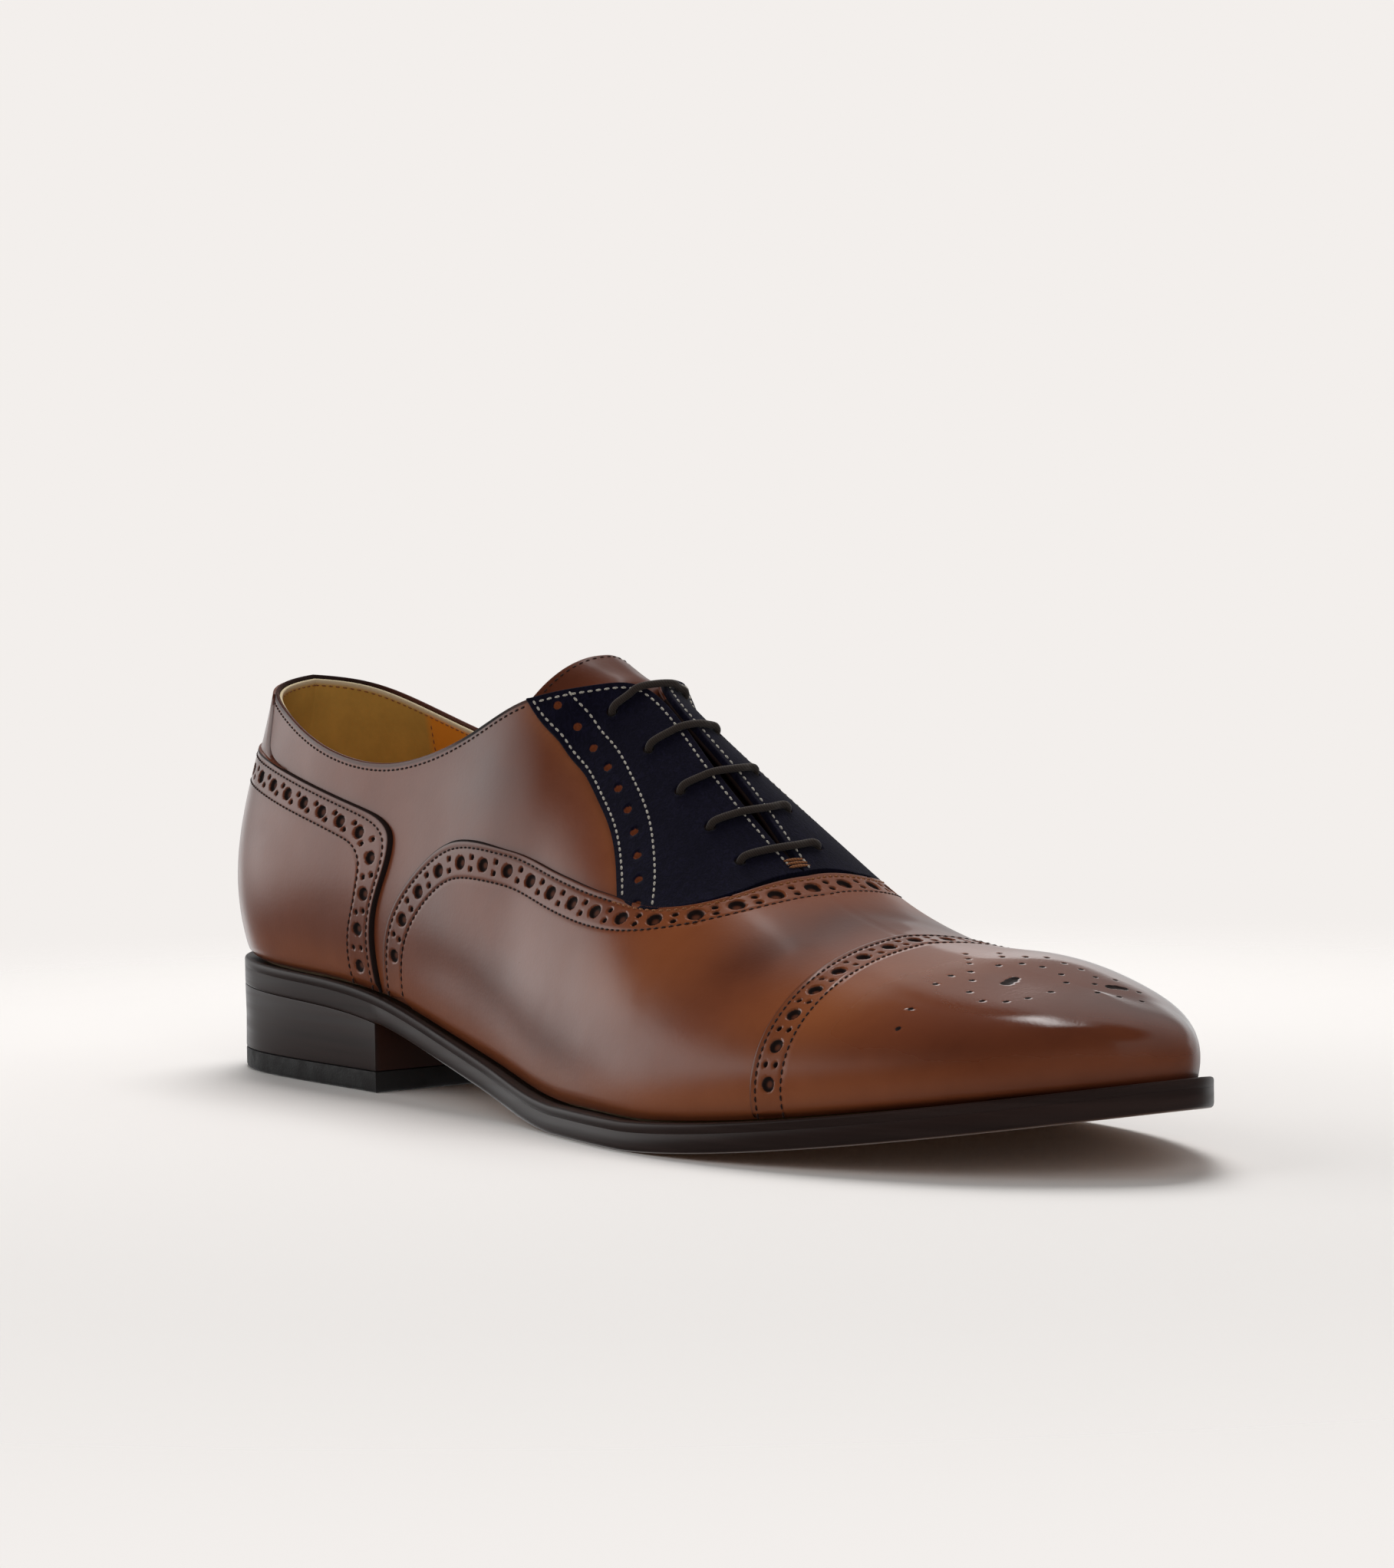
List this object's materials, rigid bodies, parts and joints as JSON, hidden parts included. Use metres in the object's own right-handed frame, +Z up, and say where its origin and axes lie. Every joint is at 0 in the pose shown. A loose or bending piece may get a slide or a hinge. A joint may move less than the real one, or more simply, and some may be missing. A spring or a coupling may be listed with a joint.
{
  "type": "half brogue oxford",
  "caption": "Brown leather half brogue oxford, a right shoe, with a punched toe cap, dark blue cloth facings, straight-bar laces, a leather sole and a stacked heel.",
  "frame": {"origin": "under the centre of the shoe's box, on the ground it stands on", "axes": "+X from heel to toe, +Y to the inner side of the foot, +Z up"},
  "size_m": [0.3002, 0.0966, 0.0935],
  "materials": {
    "brown_calf": "burnished semi-gloss",
    "navy_cloth": "matte nap",
    "lining_leather": "natural, matte",
    "sole_leather": "dark edge ink, satin",
    "lift_rubber": "matte",
    "lace_cord": "waxed cotton"
  },
  "bodies": {
    "root": {"upper": "brown_calf", "toe_cap": "brown_calf", "vamp": "brown_calf", "counter": "brown_calf", "facing_lateral": "navy_cloth", "facing_medial": "navy_cloth", "tongue": "brown_calf", "insole": "lining_leather", "welt": "sole_leather", "outsole": "sole_leather", "heel_stack": "sole_leather", "heel_top_lift": "lift_rubber", "lace_bar_1": "lace_cord", "lace_bar_2": "lace_cord", "lace_bar_3": "lace_cord", "lace_bar_4": "lace_cord", "lace_bar_5": "lace_cord"}
  },
  "joints": []
}
